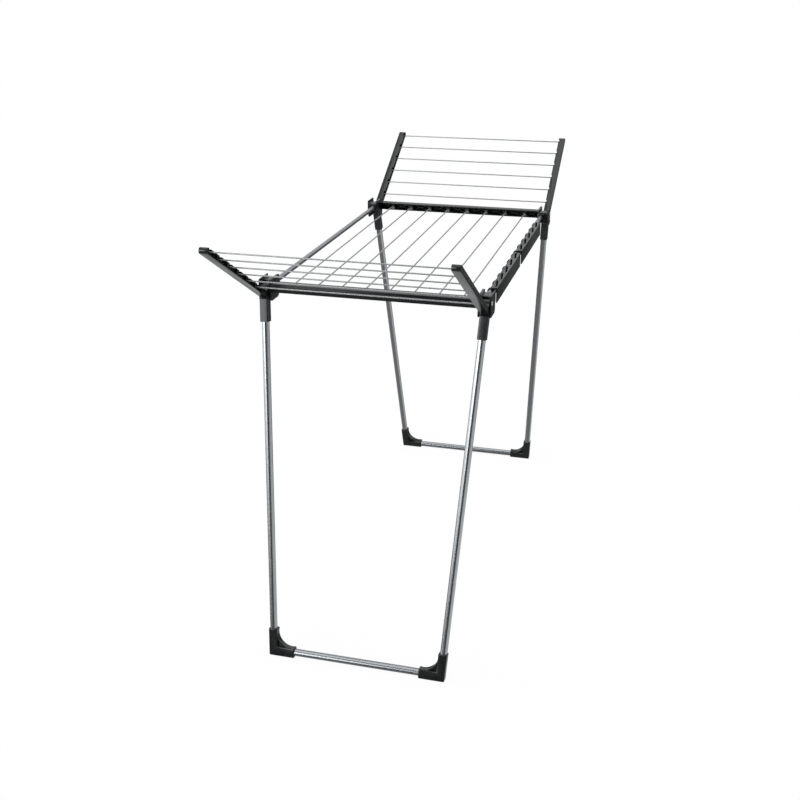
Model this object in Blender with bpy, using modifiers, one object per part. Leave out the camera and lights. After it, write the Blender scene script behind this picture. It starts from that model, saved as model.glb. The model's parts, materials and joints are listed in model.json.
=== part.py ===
"""Winged clothes airer: a lined top frame on two folding leg frames, with a folding wing at each end.

Metres, +Z up. +Y runs along the airer, from its near end to its far end, and +X across it.
The origin is on the floor, under the middle of the airer.
Corner pieces are shaped once, for the +X +Y corner, and mirrored to the other three.
"""

import math

import bmesh
import bpy
from mathutils import Matrix, Vector

# Top frame
LINE_HEIGHT = 0.950          # axis of the lines and of the side tubes
SIDE_TUBE_X = 0.2735
SIDE_TUBE_RADIUS = 0.0065
SIDE_TUBE_END_Y = 0.4780
SIDE_TUBE_WALL = 0.0008
RAIL_INNER_Y = 0.4785
RAIL_OUTER_Y = 0.5090
RAIL_TOP = 0.9600
RAIL_HEIGHT = 0.0216
RAIL_HALF_LENGTH = 0.2615
RAIL_WALL = 0.0022
RAIL_BEAD = 0.0028                  # a half-round bead along the outer wall
RAIL_BEAD_Z = 0.9505
RAIL_TONGUE = 0.0045
TONGUE_Y = (0.4820, 0.4880)
LINE_RADIUS = 0.0018
LINE_COUNT = 8
LINE_PITCH = 0.0621
LINE_END_Y = 0.5010

# Corner blocks
BLOCK_X = (0.2618, 0.2945)
BLOCK_Y = (0.4470, 0.5065)
CAP_TOP = 0.9700
CAP_CHANNEL_X = (0.2683, 0.2917)    # the slot that the arm's eye, the sleeve and the folded arm lie in
CAP_CHANNEL_FLOOR = 0.9622
BRIDGE_END_Y = 0.4815
BRIDGE_BOTTOM = 0.9405
COLLAR_Y = 0.4380
COLLAR_WIDTH = 0.0200
COLLAR_TOP = 0.9590
PLATE_BOTTOM = 0.9150
PLATE_BACK_Y = 0.4520
INNER_PLATE_X = (0.2618, 0.2650)
BOSS_TIP_X = 0.2677
BOSS_RADIUS = 0.0062

# Hinges, as (|y|, z)
WING_PIVOT = (0.4960, 0.9500)
LEG_PIVOT = (0.4960, 0.9255)
LEG_TOP = (0.5036, 0.9250)          # where the leg tube's axis would meet the sleeve's top
PIN_RADIUS = 0.0030
PIN_HEAD_RADIUS = 0.0052
PIN_HEAD = 0.0018
WING_PIN_TIP_X = 0.2650
LEG_PIN_TIP_X = 0.2632
HINGE_X = 0.2800                    # middle of the arms and of the sleeves

# Wings
WING_TILT = math.radians(30.6)
FIRST_WING_LINE = (0.5715, 0.9697)  # (|y|, z)
WING_LINE_COUNT = 6
WING_LINE_PITCH = 0.0599
WING_LINE_RADIUS = 0.0017
WING_LINE_END_X = 0.2868
ARM_WIDTH = 0.0200
ARM_DEPTH = 0.0150
ARM_WALL = 0.0020
RIB_HALF = 0.0007
ARM_ROOT = -0.0735                  # along the arm, from the first line
ARM_TIP = 0.3155
EYE_RADIUS = 0.0088
EYE_WIDTH = 0.0228

# Leg frames
LEG_TUBE_RADIUS = 0.0095
LEG_TUBE_WALL = 0.0009
BAR_Z = 0.0110
BAR_Y = 0.6896
LEG_FOOT_X = 0.2268
SLEEVE_WIDTH = 0.0228
SLEEVE_DEPTH = 0.0228
SLEEVE_CORNER = 0.0050
SLEEVE_START = 0.0048               # from the top of the leg's axis to the sleeve's body
SLEEVE_LENGTH = 0.0620
SLEEVE_HEAD_RADIUS = 0.0085
TUBE_TOP_GAP = 0.0160               # from the top of the leg's axis to the tube's end

# Feet, measured in the plane of the leg frame
FOOT_OUTER = 0.0110                 # tube axis to outer face
FOOT_INNER = 0.0122                 # tube axis to inner face
FOOT_HEIGHT = 0.0720
FOOT_LENGTH = 0.0690
FOOT_DEPTH = 0.0222
FOOT_SOLE = 0.0135
GUSSET_RADIUS = 0.0400
GUSSET_THICKNESS = 0.0080
RIM_DEPTH = 0.0180
RIM_WIDTH = 0.0035
SOCKET_FLOOR = 0.0130

# Side holders
HOLDER_STARTS = (-0.4010, -0.0260)   # y of each strip's near end
HOLDER_LENGTH = 0.3500
HOLDER_PITCH = 0.0700
HOLDER_FIRST = 0.0365                # from the near end to the first window's middle
HOLDER_UNITS = 5
FASCIA_X = (0.0137, 0.0165)          # from the side tube's axis, outwards
FASCIA_Z = (-0.0275, 0.0102)         # from the side tube's axis, upwards
DECK_Z = (0.0076, 0.0102)
DECK_INNER_X = -0.0005
TOOTH_DEPTH = 0.0013
CLIP_RADIUS = 0.0093
CLIP_WIDTH = 0.0050
CLIP_OPENING = (-0.0120, -0.0060)    # the clip's mouth, below the tube: x from the tube's axis, top z
WINDOW_NEAR = (0.0088, -0.0190, 0.0044)   # the teardrop's wide end: x, y from its middle, radius
WINDOW_FAR = (0.0048, 0.0270, 0.0024)     # and its narrow end

CLEARANCE = 0.0003                  # between pieces that touch
SOCKET_GAP = 0.0003                 # round a tube in its socket

BLACK = ("black_plastic", (0.020, 0.021, 0.023), 0.38, 0.0)
GREY = ("sleeve_plastic", (0.050, 0.052, 0.056), 0.42, 0.0)
STEEL = ("tube_steel", (0.50, 0.52, 0.54), 0.34, 1.0)
LINE = ("line_coating", (0.42, 0.43, 0.44), 0.45, 0.2)
RIVET = ("rivet_steel", (0.62, 0.62, 0.62), 0.30, 1.0)


# Scene and materials

def clear_scene():
    for obj in list(bpy.data.objects):
        bpy.data.objects.remove(obj, do_unlink=True)


def new_collection(name):
    collection = bpy.data.collections.new(name)
    bpy.context.scene.collection.children.link(collection)
    return collection


def material(finish):
    name, colour, roughness, metallic = finish
    found = bpy.data.materials.get(name)
    if found:
        return found
    made = bpy.data.materials.new(name)
    made.use_nodes = True
    shader = made.node_tree.nodes["Principled BSDF"]
    shader.inputs["Base Color"].default_value = (*colour, 1.0)
    shader.inputs["Roughness"].default_value = roughness
    shader.inputs["Metallic"].default_value = metallic
    made.diffuse_color = (*colour, 1.0)
    return made


def hinge_empty(name, y, z):
    empty = bpy.data.objects.new(name, None)
    empty.empty_display_size = 0.03
    empty.location = (0.0, y, z)
    PARTS.objects.link(empty)
    return empty


def add_part(name, mesh, finish, hinge=None):
    """Makes the named object from a mesh in world coordinates, with its origin on its hinge."""
    if hinge:
        mesh.transform(Matrix.Translation(-hinge.location))
    mesh.materials.clear()
    mesh.materials.append(material(finish))
    mesh.shade_smooth()
    mesh.set_sharp_from_angle(angle=math.radians(30))
    mesh.name = name
    obj = bpy.data.objects.new(name, mesh)
    obj.parent = hinge
    PARTS.objects.link(obj)
    return obj


# Shapes. Each function returns a mesh in world coordinates.

def evaluated_mesh(obj):
    """The object's mesh with its modifiers or its bevel made real; the object is removed."""
    graph = bpy.context.evaluated_depsgraph_get()
    mesh = bpy.data.meshes.new_from_object(obj.evaluated_get(graph))
    bpy.data.objects.remove(obj, do_unlink=True)
    shape = bmesh.new()
    shape.from_mesh(mesh)
    bmesh.ops.remove_doubles(shape, verts=shape.verts, dist=1e-6)
    bmesh.ops.recalc_face_normals(shape, faces=shape.faces)
    shape.to_mesh(mesh)
    shape.free()
    return mesh


def box(low, high):
    low, high = Vector(low), Vector(high)
    shape = bmesh.new()
    size = Matrix.Diagonal((*(high - low), 1.0))
    bmesh.ops.create_cube(shape, size=1.0, matrix=Matrix.Translation((low + high) / 2) @ size)
    mesh = bpy.data.meshes.new("box")
    shape.to_mesh(mesh)
    shape.free()
    return mesh


def prism(outline, thickness, place=None):
    """An outline in XY, extruded to both sides of the plane, then placed."""
    curve = bpy.data.curves.new("outline", "CURVE")
    curve.dimensions = "2D"
    curve.fill_mode = "BOTH"
    curve.extrude = thickness / 2
    spline = curve.splines.new("POLY")
    spline.points.add(len(outline) - 1)
    for point, (x, y) in zip(spline.points, outline):
        point.co = (x, y, 0.0, 1.0)
    spline.use_cyclic_u = True
    obj = bpy.data.objects.new("outline", curve)
    WORK.objects.link(obj)
    bpy.context.view_layer.update()
    mesh = evaluated_mesh(obj)
    bpy.data.curves.remove(curve)
    if place:
        mesh.transform(place)
    return mesh


def turned(profile, sides, place=None):
    """A closed profile of (radius, z), turned about Z by a Screw, then placed."""
    shape = bmesh.new()
    points = [shape.verts.new((radius, 0.0, z)) for radius, z in profile]
    closed = all(radius > 0 for radius, z in profile)
    for start, end in zip(points, points[1:]):
        shape.edges.new((start, end))
    if closed:
        shape.edges.new((points[-1], points[0]))
    mesh = bpy.data.meshes.new("profile")
    shape.to_mesh(mesh)
    shape.free()
    obj = bpy.data.objects.new("profile", mesh)
    WORK.objects.link(obj)
    screw = obj.modifiers.new("Turn", "SCREW")
    screw.steps = screw.render_steps = sides
    screw.use_merge_vertices = True
    screw.merge_threshold = 0.00001
    screw.use_normal_calculate = True
    bpy.context.view_layer.update()
    turned_mesh = evaluated_mesh(obj)
    bpy.data.meshes.remove(mesh)
    if place:
        turned_mesh.transform(place)
    return turned_mesh


def facing(start, end):
    """Places +Z from start towards end."""
    direction = Vector(end) - Vector(start)
    turn = direction.to_track_quat("Z", "Y").to_matrix().to_4x4()
    return Matrix.Translation(start) @ turn


def length_between(start, end):
    return (Vector(end) - Vector(start)).length


def tube(start, end, radius, wall, sides=24):
    length = length_between(start, end)
    inner = radius - wall
    profile = [(radius, length), (radius, 0.0), (inner, 0.0), (inner, length)]
    return turned(profile, sides, facing(start, end))


def rod(start, end, radius, sides=24):
    length = length_between(start, end)
    profile = [(0.0, length), (radius, length), (radius, 0.0), (0.0, 0.0)]
    return turned(profile, sides, facing(start, end))


def wire(start, end, radius):
    """A straight wire: a poly curve with a round bevel and filled caps."""
    curve = bpy.data.curves.new("wire", "CURVE")
    curve.dimensions = "3D"
    curve.bevel_depth = radius
    curve.bevel_resolution = 4
    curve.use_fill_caps = True
    spline = curve.splines.new("POLY")
    spline.points.add(1)
    spline.points[0].co = (*start, 1.0)
    spline.points[1].co = (*end, 1.0)
    obj = bpy.data.objects.new("wire", curve)
    WORK.objects.link(obj)
    bpy.context.view_layer.update()
    mesh = evaluated_mesh(obj)
    bpy.data.curves.remove(curve)
    return mesh


def boolean(base, others, operation):
    """The base mesh with each other mesh joined to it or cut from it, in turn."""
    obj = bpy.data.objects.new("base", base)
    WORK.objects.link(obj)
    helpers = []
    for other in others:
        helper = bpy.data.objects.new("helper", other)
        WORK.objects.link(helper)
        helpers.append(helper)
        step = obj.modifiers.new("Step", "BOOLEAN")
        step.operation = operation
        step.solver = "EXACT"
        step.object = helper
    bpy.context.view_layer.update()
    mesh = evaluated_mesh(obj)
    for helper in helpers:
        bpy.data.objects.remove(helper, do_unlink=True)
    for used in [base, *others]:
        bpy.data.meshes.remove(used)
    return mesh


def fused(first, *others):
    return boolean(first, others, "UNION")


def carved(first, *cutters):
    return boolean(first, cutters, "DIFFERENCE")


def mirrored(mesh, side_x, side_y):
    """A copy for the corner on side_x (+1 or -1) and side_y, with its faces still outwards."""
    copy = mesh.copy()
    copy.transform(Matrix.Diagonal((side_x, side_y, 1.0, 1.0)))
    if side_x * side_y < 0:
        copy.flip_normals()
    return copy


def arc(centre, radius, start, end, steps):
    """Points on an arc, from the start angle to the end angle, in degrees."""
    points = []
    for step in range(steps + 1):
        angle = math.radians(start + (end - start) * step / steps)
        points.append((centre[0] + radius * math.cos(angle), centre[1] + radius * math.sin(angle)))
    return points


def side_prism(outline, x_low, x_high):
    """An outline of (|y|, z), extruded across the airer."""
    place = Matrix.Translation(((x_low + x_high) / 2, 0.0, 0.0)) @ Matrix((
        (0.0, 0.0, 1.0, 0.0),
        (1.0, 0.0, 0.0, 0.0),
        (0.0, 1.0, 0.0, 0.0),
        (0.0, 0.0, 0.0, 1.0),
    ))
    return prism(outline, x_high - x_low, place)


def across(x_low, x_high, pivot, radius, sides=24):
    """A cylinder along X through a pivot of (|y|, z)."""
    return rod((x_low, *pivot), (x_high, *pivot), radius, sides)


# Wing coordinates: along the arm from the first line, and up from the arm's middle plane

def wing_point(along, up):
    y = FIRST_WING_LINE[0] + along * math.cos(WING_TILT) - up * math.sin(WING_TILT)
    z = FIRST_WING_LINE[1] + along * math.sin(WING_TILT) + up * math.cos(WING_TILT)
    return y, z


def in_wing(points):
    return [wing_point(along, up) for along, up in points]


# Leg coordinates: in the plane of the far leg frame, (x, height above the bar's axis)

LEG_RISE = LEG_TOP[1] - BAR_Z
LEG_RUN = BAR_Y - LEG_TOP[0]
LEG_SPLAY = math.atan2(LEG_RUN, LEG_RISE)
LEG_SLANT = math.hypot(LEG_RISE, LEG_RUN)
LEG_LEAN = (HINGE_X - LEG_FOOT_X) / LEG_SLANT
LEG_PLANE = Matrix.Translation((0.0, BAR_Y, BAR_Z)) @ Matrix((
    (1.0, 0.0, 0.0, 0.0),
    (0.0, -math.sin(LEG_SPLAY), -math.cos(LEG_SPLAY), 0.0),
    (0.0, math.cos(LEG_SPLAY), -math.sin(LEG_SPLAY), 0.0),
    (0.0, 0.0, 0.0, 1.0),
))


def leg_axis(height):
    """The leg tube's axis at a height above the bar's axis, in world coordinates."""
    return LEG_PLANE @ Vector((LEG_FOOT_X + LEG_LEAN * height, height, 0.0))


def leg_x(height, offset):
    return LEG_FOOT_X + LEG_LEAN * height + offset


# Top frame

def cross_rail():
    """A channel, open towards the lines, with a holed rib at each line and crossed ribs between."""
    bottom = RAIL_TOP - RAIL_HEIGHT
    end = RAIL_HALF_LENGTH
    wall_y = RAIL_OUTER_Y - RAIL_BEAD
    profile = [(RAIL_INNER_Y, bottom), (wall_y, bottom)]
    profile += arc((wall_y, RAIL_BEAD_Z), RAIL_BEAD, -90, 90, 6)
    profile += [(wall_y, RAIL_TOP - 0.001), (wall_y - 0.001, RAIL_TOP), (RAIL_INNER_Y, RAIL_TOP)]
    rail = side_prism(profile, -end, end)
    hollow = box(
        (-end + RAIL_WALL, RAIL_INNER_Y - 0.01, bottom + RAIL_WALL),
        (end - RAIL_WALL, wall_y - RAIL_WALL, RAIL_TOP - RAIL_WALL),
    )
    rail = carved(rail, hollow)
    ribs = []
    rib_low, rib_high = bottom + RAIL_WALL / 2, RAIL_TOP - RAIL_WALL / 2
    middle = (rib_low + rib_high) / 2
    reach = (rib_high - rib_low) / 2
    for x in line_places():
        ribs.append(box((x - 0.005, RAIL_INNER_Y + 0.004, rib_low), (x + 0.005, wall_y - 0.001, rib_high)))
    bays = [-end] + line_places() + [end]
    for left, right in zip(bays, bays[1:]):
        centre = (left + right) / 2
        half = (right - left) / 2 - 0.002
        for turn in (1, -1):
            angle = math.atan2(reach, half) * turn
            place = Matrix.Translation((centre, wall_y - 0.0110, middle))
            place = place @ Matrix.Rotation(-angle, 4, "Y")
            long = math.hypot(half, reach) - 0.001
            rib = box((-long, -0.0095, -0.0008), (long, 0.0095, 0.0008))
            rib.transform(place)
            ribs.append(rib)
    rail = fused(rail, *ribs)
    for side in (1, -1):
        tongue = box(
            (end - 0.002, TONGUE_Y[0], bottom + 0.005),
            (end + RAIL_TONGUE, TONGUE_Y[1], RAIL_TOP - 0.005),
        )
        if side < 0:
            tongue.transform(Matrix.Diagonal((-1.0, 1.0, 1.0, 1.0)))
            tongue.flip_normals()
        rail = fused(rail, tongue)
    bores = [
        rod(
            (x, RAIL_INNER_Y - 0.01, LINE_HEIGHT),
            (x, LINE_END_Y + CLEARANCE, LINE_HEIGHT),
            LINE_RADIUS + CLEARANCE,
            12,
        )
        for x in line_places()
    ]
    return carved(rail, *bores)


def line_places():
    first = -LINE_PITCH * (LINE_COUNT - 1) / 2
    return [first + LINE_PITCH * place for place in range(LINE_COUNT)]


def leg_section(points):
    """Points of (outwards, up the leg) from the top of the leg's axis, as (|y|, z)."""
    outwards = (math.cos(LEG_SPLAY), math.sin(LEG_SPLAY))
    upwards = (-math.sin(LEG_SPLAY), math.cos(LEG_SPLAY))
    return [
        (
            LEG_TOP[0] + out * outwards[0] + up * upwards[0],
            LEG_TOP[1] + out * outwards[1] + up * upwards[1],
        )
        for out, up in points
    ]


def corner_block():
    """Clamps a side tube, takes the rail's tongue, and carries the wing's and the leg's hinge pins."""
    slot_low, slot_high = CAP_CHANNEL_X
    lower_plate = [(PLATE_BACK_Y, RAIL_TOP - 0.0120), (BLOCK_Y[1] - 0.0002, RAIL_TOP - 0.0120)]
    lower_plate += arc((BLOCK_Y[1] - 0.0062, PLATE_BOTTOM + 0.0060), 0.0060, 0, -90, 4)
    lower_plate += arc((PLATE_BACK_Y + 0.0100, PLATE_BOTTOM + 0.0100), 0.0100, 270, 180, 5)
    plate = [(BLOCK_Y[0], 0.9440), (BLOCK_Y[0], CAP_TOP)]
    plate += arc((BLOCK_Y[1] - 0.0050, CAP_TOP - 0.0050), 0.0050, 90, 0, 4)
    plate += arc((BLOCK_Y[1] - 0.0060, PLATE_BOTTOM + 0.0060), 0.0060, 0, -90, 4)
    plate += arc((PLATE_BACK_Y + 0.0100, PLATE_BOTTOM + 0.0100), 0.0100, 270, 180, 5)
    plate.append((PLATE_BACK_Y, 0.9390))
    wing_stop = in_wing([(-0.0775, 0.0068), (-0.0748, 0.0068), (-0.0748, 0.0100), (-0.0775, 0.0100)])
    leg_stop = [
        (BRIDGE_END_Y - 0.0040, 0.9390),
        (0.4800, 0.9302),
        (0.4872, 0.9302),
        (0.4872, 0.9335),
        (BRIDGE_END_Y - 0.0040, 0.9450),
    ]
    block = fused(
        box((BLOCK_X[0], BLOCK_Y[0], BRIDGE_BOTTOM), (BLOCK_X[1] - 0.001, BRIDGE_END_Y, CAP_CHANNEL_FLOOR)),
        side_prism(plate, slot_high, BLOCK_X[1]),
        box((BLOCK_X[0], BLOCK_Y[0], CAP_CHANNEL_FLOOR - 0.004), (slot_low, BLOCK_Y[1], CAP_TOP)),
        box(
            (BLOCK_X[0], BRIDGE_END_Y - 0.004, RAIL_TOP - RAIL_HEIGHT),
            (slot_low, BLOCK_Y[1], CAP_TOP - 0.004),
        ),
        side_prism(lower_plate, *INNER_PLATE_X),
        across(INNER_PLATE_X[0] + 0.001, BOSS_TIP_X, LEG_PIVOT, BOSS_RADIUS),
        box(
            (SIDE_TUBE_X - COLLAR_WIDTH / 2 + 0.0004, COLLAR_Y, BRIDGE_BOTTOM + 0.0003),
            (SIDE_TUBE_X + COLLAR_WIDTH / 2, BLOCK_Y[0] + 0.002, COLLAR_TOP),
        ),
        side_prism(wing_stop, slot_low - 0.003, slot_high + 0.001),
        side_prism(leg_stop, slot_low - 0.003, slot_high + 0.001),
    )
    tube_socket = rod(
        (SIDE_TUBE_X, COLLAR_Y - 0.01, LINE_HEIGHT),
        (SIDE_TUBE_X, SIDE_TUBE_END_Y + CLEARANCE, LINE_HEIGHT),
        SIDE_TUBE_RADIUS + SOCKET_GAP,
    )
    tongue_pocket = box(
        (BLOCK_X[0] - 0.02, TONGUE_Y[0] - CLEARANCE, RAIL_TOP - RAIL_HEIGHT + 0.0047),
        (RAIL_HALF_LENGTH + RAIL_TONGUE + CLEARANCE, TONGUE_Y[1] + CLEARANCE, RAIL_TOP - 0.0047),
    )
    pin_holes = [
        across(tip - CLEARANCE, 0.31, pivot, PIN_RADIUS + SOCKET_GAP, 16)
        for tip, pivot in ((WING_PIN_TIP_X, WING_PIVOT), (LEG_PIN_TIP_X, LEG_PIVOT))
    ]
    return carved(block, tube_socket, tongue_pocket, *pin_holes)


def hinge_pin(pivot, tip):
    """A headed pin, in through the block's outer plate and across to its inner side."""
    head = BLOCK_X[1] + CLEARANCE
    length = head + PIN_HEAD - tip
    shank = length - PIN_HEAD
    profile = [
        (0.0, length),
        (PIN_HEAD_RADIUS * 0.55, length - 0.0003),
        (PIN_HEAD_RADIUS * 0.9, length - 0.0011),
        (PIN_HEAD_RADIUS, shank),
        (PIN_RADIUS, shank),
        (PIN_RADIUS, 0.0006),
        (PIN_RADIUS - 0.0006, 0.0),
        (0.0, 0.0),
    ]
    return turned(profile, 16, facing((tip, *pivot), (0.31, *pivot)))


# Wings

def wing_arm():
    """A channel open towards the other arm, rounded at its tip, with an eye round the wing's pin."""
    half = ARM_DEPTH / 2
    low, high = HINGE_X - ARM_WIDTH / 2, HINGE_X + ARM_WIDTH / 2
    eye = WING_PIVOT_IN_WING
    outline = [(ARM_ROOT, -half)]
    outline += arc((ARM_TIP - half, 0.0), half, -90, 90, 8)
    outline += [(-0.0610, half), (-0.0655, 0.0150), (ARM_ROOT, 0.0150)]
    arm = fused(
        side_prism(in_wing(outline), low, high),
        across(HINGE_X - EYE_WIDTH / 2, HINGE_X + EYE_WIDTH / 2, WING_PIVOT, EYE_RADIUS),
        side_prism(in_wing([
            (ARM_ROOT + 0.0005, 0.009),
            (eye[0] + EYE_RADIUS * 1.2, 0.009),
            (eye[0] + EYE_RADIUS * 0.96, eye[1]),
            (eye[0] - EYE_RADIUS * 0.3, eye[1]),
            (ARM_ROOT + 0.0005, eye[1] - EYE_RADIUS),
        ]), low + 0.0004, high - 0.0004),
    )
    inner = half - ARM_WALL
    channel = [(-0.028, -inner)] + arc((ARM_TIP - half, 0.0), inner, -90, 90, 8) + [(-0.028, inner)]
    arm = carved(
        arm,
        side_prism(in_wing(channel), low - 0.01, high - ARM_WALL),
        across(0.20, 0.31, WING_PIVOT, PIN_RADIUS + SOCKET_GAP, 16),
    )
    ribs = []
    for along in wing_line_places():
        seat = [(along - 0.004, -half + 0.001), (along + 0.004, -half + 0.001)]
        seat += [(along + 0.004, half - 0.001), (along - 0.004, half - 0.001)]
        ribs.append(side_prism(in_wing(seat), low + 0.006, high - 0.001))
    for along in wing_line_places()[:-1]:
        for slope, face in ((1, 0.0090), (-1, 0.0094)):
            near, far = along + 0.003, along + WING_LINE_PITCH - 0.003
            rise = slope * (half - 0.0015)
            strip = [(near, -rise - RIB_HALF), (far, rise - RIB_HALF)]
            strip += [(far, rise + RIB_HALF), (near, -rise + RIB_HALF)]
            ribs.append(side_prism(in_wing(strip), low + face, high - face / 8))
    arm = fused(arm, *ribs)
    cuts = []
    for along in wing_line_places():
        notch = [(along - 0.005, inner - 0.001), (along + 0.005, inner - 0.001)]
        notch += [(along + 0.005, half + 0.005), (along - 0.005, half + 0.005)]
        cuts.append(side_prism(in_wing(notch), low - 0.01, low + 0.0045))
        line_end = WING_LINE_END_X + CLEARANCE
        line_radius = WING_LINE_RADIUS + CLEARANCE
        cuts.append(across(low - 0.01, line_end, wing_point(along, 0.0), line_radius, 12))
    return carved(arm, *cuts)


def wing_line_places():
    return [WING_LINE_PITCH * place for place in range(WING_LINE_COUNT)]


def to_wing(point):
    """(|y|, z) as (along, up)."""
    dy = point[0] - FIRST_WING_LINE[0]
    dz = point[1] - FIRST_WING_LINE[1]
    return (
        dy * math.cos(WING_TILT) + dz * math.sin(WING_TILT),
        -dy * math.sin(WING_TILT) + dz * math.cos(WING_TILT),
    )


WING_PIVOT_IN_WING = to_wing(WING_PIVOT)


# Leg frames

def rounded_rectangle(width, depth, radius, steps=3):
    points = []
    for corner, (sx, sy) in enumerate(((1, 1), (-1, 1), (-1, -1), (1, -1))):
        centre = (sx * (width / 2 - radius), sy * (depth / 2 - radius))
        points += arc(centre, radius, corner * 90, corner * 90 + 90, steps)
    return points


def leg_sleeve():
    """A moulded sleeve with a rounded head, hinged in the slot of a corner block."""
    place = squared(facing(leg_axis(LEG_SLANT), leg_axis(0.0)))
    body = prism(
        rounded_rectangle(SLEEVE_WIDTH, SLEEVE_DEPTH, SLEEVE_CORNER),
        SLEEVE_LENGTH - SLEEVE_START,
        place @ Matrix.Translation((0.0, 0.0, (SLEEVE_LENGTH + SLEEVE_START) / 2)),
    )
    half = SLEEVE_DEPTH / 2
    neck = leg_section([
        (-half + 0.001, -0.0100),
        (half - 0.004, -0.0100),
        (half - 0.005, -0.0050),
        (0.0, 0.0015),
    ])
    head_y = LEG_PIVOT[0] - SLEEVE_HEAD_RADIUS
    neck += [(head_y + 0.0040, LEG_PIVOT[1] + 0.0075), (head_y, LEG_PIVOT[1] + 0.0075)]
    low, high = HINGE_X - SLEEVE_WIDTH / 2, HINGE_X + SLEEVE_WIDTH / 2
    knuckle = across(low + 0.0003, high - 0.0003, LEG_PIVOT, SLEEVE_HEAD_RADIUS)
    socket = rod(
        leg_axis(LEG_SLANT - TUBE_TOP_GAP + CLEARANCE),
        leg_axis(LEG_SLANT - SLEEVE_LENGTH - 0.02),
        LEG_TUBE_RADIUS + SOCKET_GAP,
    )
    hole = across(0.20, 0.32, LEG_PIVOT, PIN_RADIUS + SOCKET_GAP, 16)
    return carved(fused(body, side_prism(neck, low + 0.0006, high - 0.0006), knuckle), socket, hole)


def squared(place):
    """The same place, turned about its own Z so that its X lies across the airer."""
    z_axis = place.to_3x3() @ Vector((0.0, 0.0, 1.0))
    x_axis = Vector((1.0, 0.0, 0.0))
    x_axis = (x_axis - z_axis * x_axis.dot(z_axis)).normalized()
    y_axis = z_axis.cross(x_axis)
    turn = Matrix((x_axis, y_axis, z_axis)).transposed().to_4x4()
    return Matrix.Translation(place.to_translation()) @ turn


def corner_foot():
    """Two sockets at right angles with a concave webbed gusset between them and a flat sole."""
    floor = -FOOT_SOLE
    top = FOOT_HEIGHT - FOOT_OUTER
    corner = leg_x(-FOOT_OUTER, FOOT_OUTER)
    end = corner - FOOT_LENGTH
    upright = [
        (leg_x(floor, FOOT_OUTER), floor),
        (leg_x(top, FOOT_OUTER), top),
        (leg_x(top, -FOOT_INNER), top),
        (leg_x(floor, -FOOT_INNER), floor),
    ]
    level = [(end, floor), (corner - 0.004, floor), (corner - 0.004, FOOT_INNER), (end, FOOT_INNER)]
    arc_centre = (leg_x(top - 0.010, -FOOT_INNER) - GUSSET_RADIUS, FOOT_INNER + GUSSET_RADIUS)
    curve = arc(arc_centre, GUSSET_RADIUS, 270, 360, 10)
    inner_corner = (leg_x(0.0, -FOOT_INNER) + 0.004, FOOT_INNER - 0.004)
    web = [(curve[0][0], inner_corner[1]), *curve, (inner_corner[0], curve[-1][1]), inner_corner]
    outer_curve = arc(arc_centre, GUSSET_RADIUS + RIM_WIDTH, 270, 360, 10)
    rim = curve + outer_curve[::-1]
    foot = fused(
        prism(upright, FOOT_DEPTH, LEG_PLANE),
        prism(level, FOOT_DEPTH, LEG_PLANE),
        prism(web, GUSSET_THICKNESS, LEG_PLANE),
        prism(rim, RIM_DEPTH, LEG_PLANE),
    )
    leg_socket = rod(leg_axis(SOCKET_FLOOR - CLEARANCE), leg_axis(0.12), LEG_TUBE_RADIUS + SOCKET_GAP)
    bar_socket = rod(
        (0.10, BAR_Y, BAR_Z),
        (LEG_FOOT_X - SOCKET_FLOOR + CLEARANCE, BAR_Y, BAR_Z),
        LEG_TUBE_RADIUS + SOCKET_GAP,
    )
    below_floor = box((0.10, 0.60, -0.05), (0.30, 0.80, 0.0))
    return carved(foot, leg_socket, bar_socket, below_floor)


# Side holders

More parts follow.
